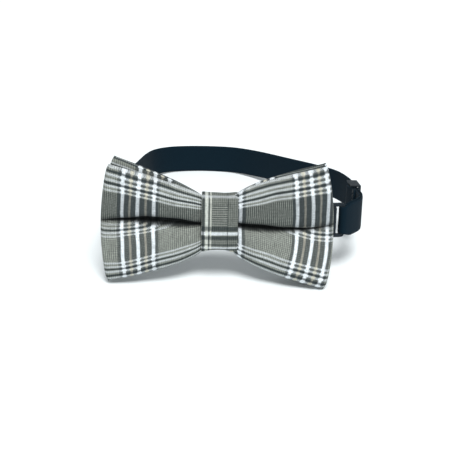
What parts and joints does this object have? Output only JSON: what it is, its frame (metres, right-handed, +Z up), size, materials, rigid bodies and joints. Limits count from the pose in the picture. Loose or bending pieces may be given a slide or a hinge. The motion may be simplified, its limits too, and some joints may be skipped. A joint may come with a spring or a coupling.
{
  "type": "bow tie",
  "caption": "Ready-tied bow tie: two stacked checked-cloth bows gathered by a wrapped knot, on an adjustable elastic neck band with a slider and a hook-and-ring clasp.",
  "frame": {"origin": "on the ground under the middle of the whole tie as it stands, leaning on its far band", "axes": "+X along the bow towards its clasp side, +Y from the front of the bow to the back of the neck, +Z up"},
  "size_m": [0.1492, 0.1852, 0.0666],
  "materials": {
    "plaid_cloth": "woven taupe and white check, matt",
    "interlining": "stiff felted white lining",
    "thread": "dark sewing thread",
    "band_elastic": "blue-black ribbed elastic with a slight satin sheen",
    "black_plastic": "moulded black plastic, semi-gloss"
  },
  "bodies": {
    "band": {"neck_band": "band_elastic", "ring": "black_plastic"},
    "bow": {"front_bow_shell": "plaid_cloth", "front_bow_interlining": "interlining", "back_bow_shell": "plaid_cloth", "back_bow_interlining": "interlining", "knot_wrap": "plaid_cloth", "knot_interlining": "interlining", "gather_thread": "thread", "knot_stitches": "thread"},
    "hook_end": {"hook": "black_plastic", "hook_strap": "band_elastic", "hook_stitches": "thread"},
    "slider_end": {"slider": "black_plastic", "slider_strap": "band_elastic", "slider_stitches": "thread"}
  },
  "joints": [
    {"name": "bow_slide", "type": "slide", "parent": "band", "child": "bow", "axis": [1, 0, 0], "range_m": [-0.012, 0.012]},
    {"name": "hook_release", "type": "slide", "parent": "band", "child": "hook_end", "axis": [0.0872, 0.9868, -0.1367], "range_m": [0, 0.008]},
    {"name": "slider_slide", "type": "slide", "parent": "band", "child": "slider_end", "axis": [0, 0.9905, -0.1372], "range_m": [-0.006, 0.008]}
  ]
}
